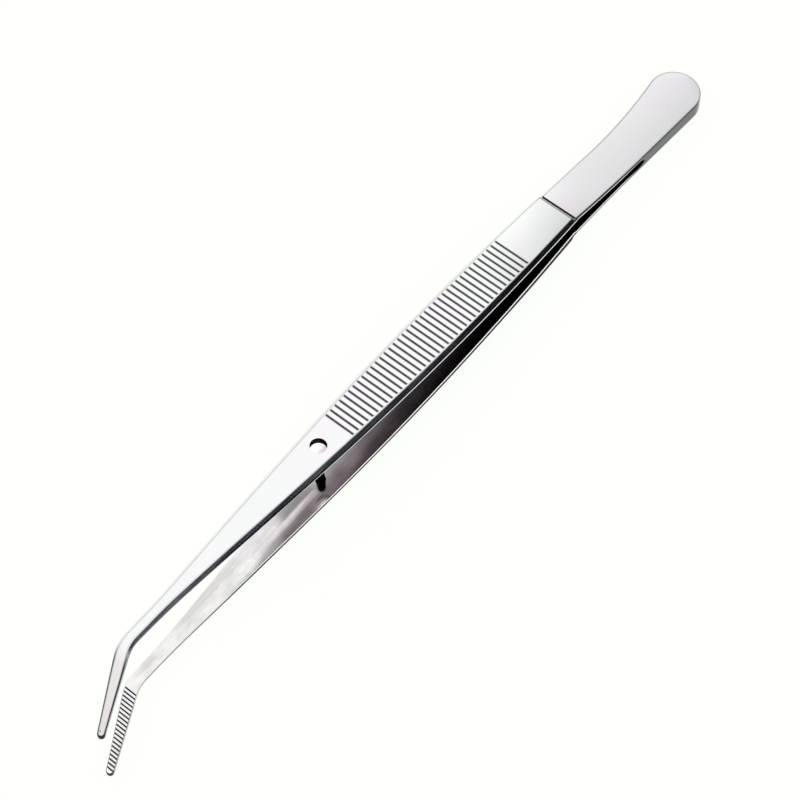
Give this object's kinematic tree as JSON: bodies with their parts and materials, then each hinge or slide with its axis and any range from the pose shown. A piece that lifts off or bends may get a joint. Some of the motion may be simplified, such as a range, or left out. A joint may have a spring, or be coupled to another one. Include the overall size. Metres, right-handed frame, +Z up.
{
  "type": "angled long tweezers",
  "caption": "Long steel tweezers sprung open from a welded rounded tail, with cross-grooved grips, slim legs bent to one side at toothed tips, and a guide pin that enters a hole when squeezed.",
  "frame": {"origin": "bottom centre of the whole part's bounding box, on the plane it rests on", "axes": "+X from the tips to the tail, +Y away from the side the tips bend to, +Z up from the lower arm to the upper arm"},
  "size_m": [0.2002, 0.0155, 0.0206],
  "materials": {
    "spring_steel": "satin polished stainless steel with fine lengthwise grinding lines",
    "pin_steel": "turned and polished stainless steel"
  },
  "bodies": {
    "tail": {"upper_tail": "spring_steel", "lower_tail": "spring_steel"},
    "upper_arm_body": {"upper_arm": "spring_steel"},
    "lower_arm_body": {"lower_arm": "spring_steel", "guide_pin": "pin_steel"}
  },
  "joints": [
    {"name": "upper_leaf", "type": "hinge", "parent": "tail", "child": "upper_arm_body", "pos_m": [0.066, 0.00225, 0.00532], "axis": [0, -1, 0], "range_deg": [0, 2.8], "stiffness_Nm_per_rad": 4.7},
    {"name": "lower_leaf", "type": "hinge", "parent": "tail", "child": "lower_arm_body", "pos_m": [0.06584, 0.00225, 0.00183], "axis": [0, 1, 0], "range_deg": [0, 2.8], "stiffness_Nm_per_rad": 4.7}
  ],
  "couplings": [
    {"joint": "lower_leaf", "follows": "upper_leaf", "ratio": 1}
  ]
}
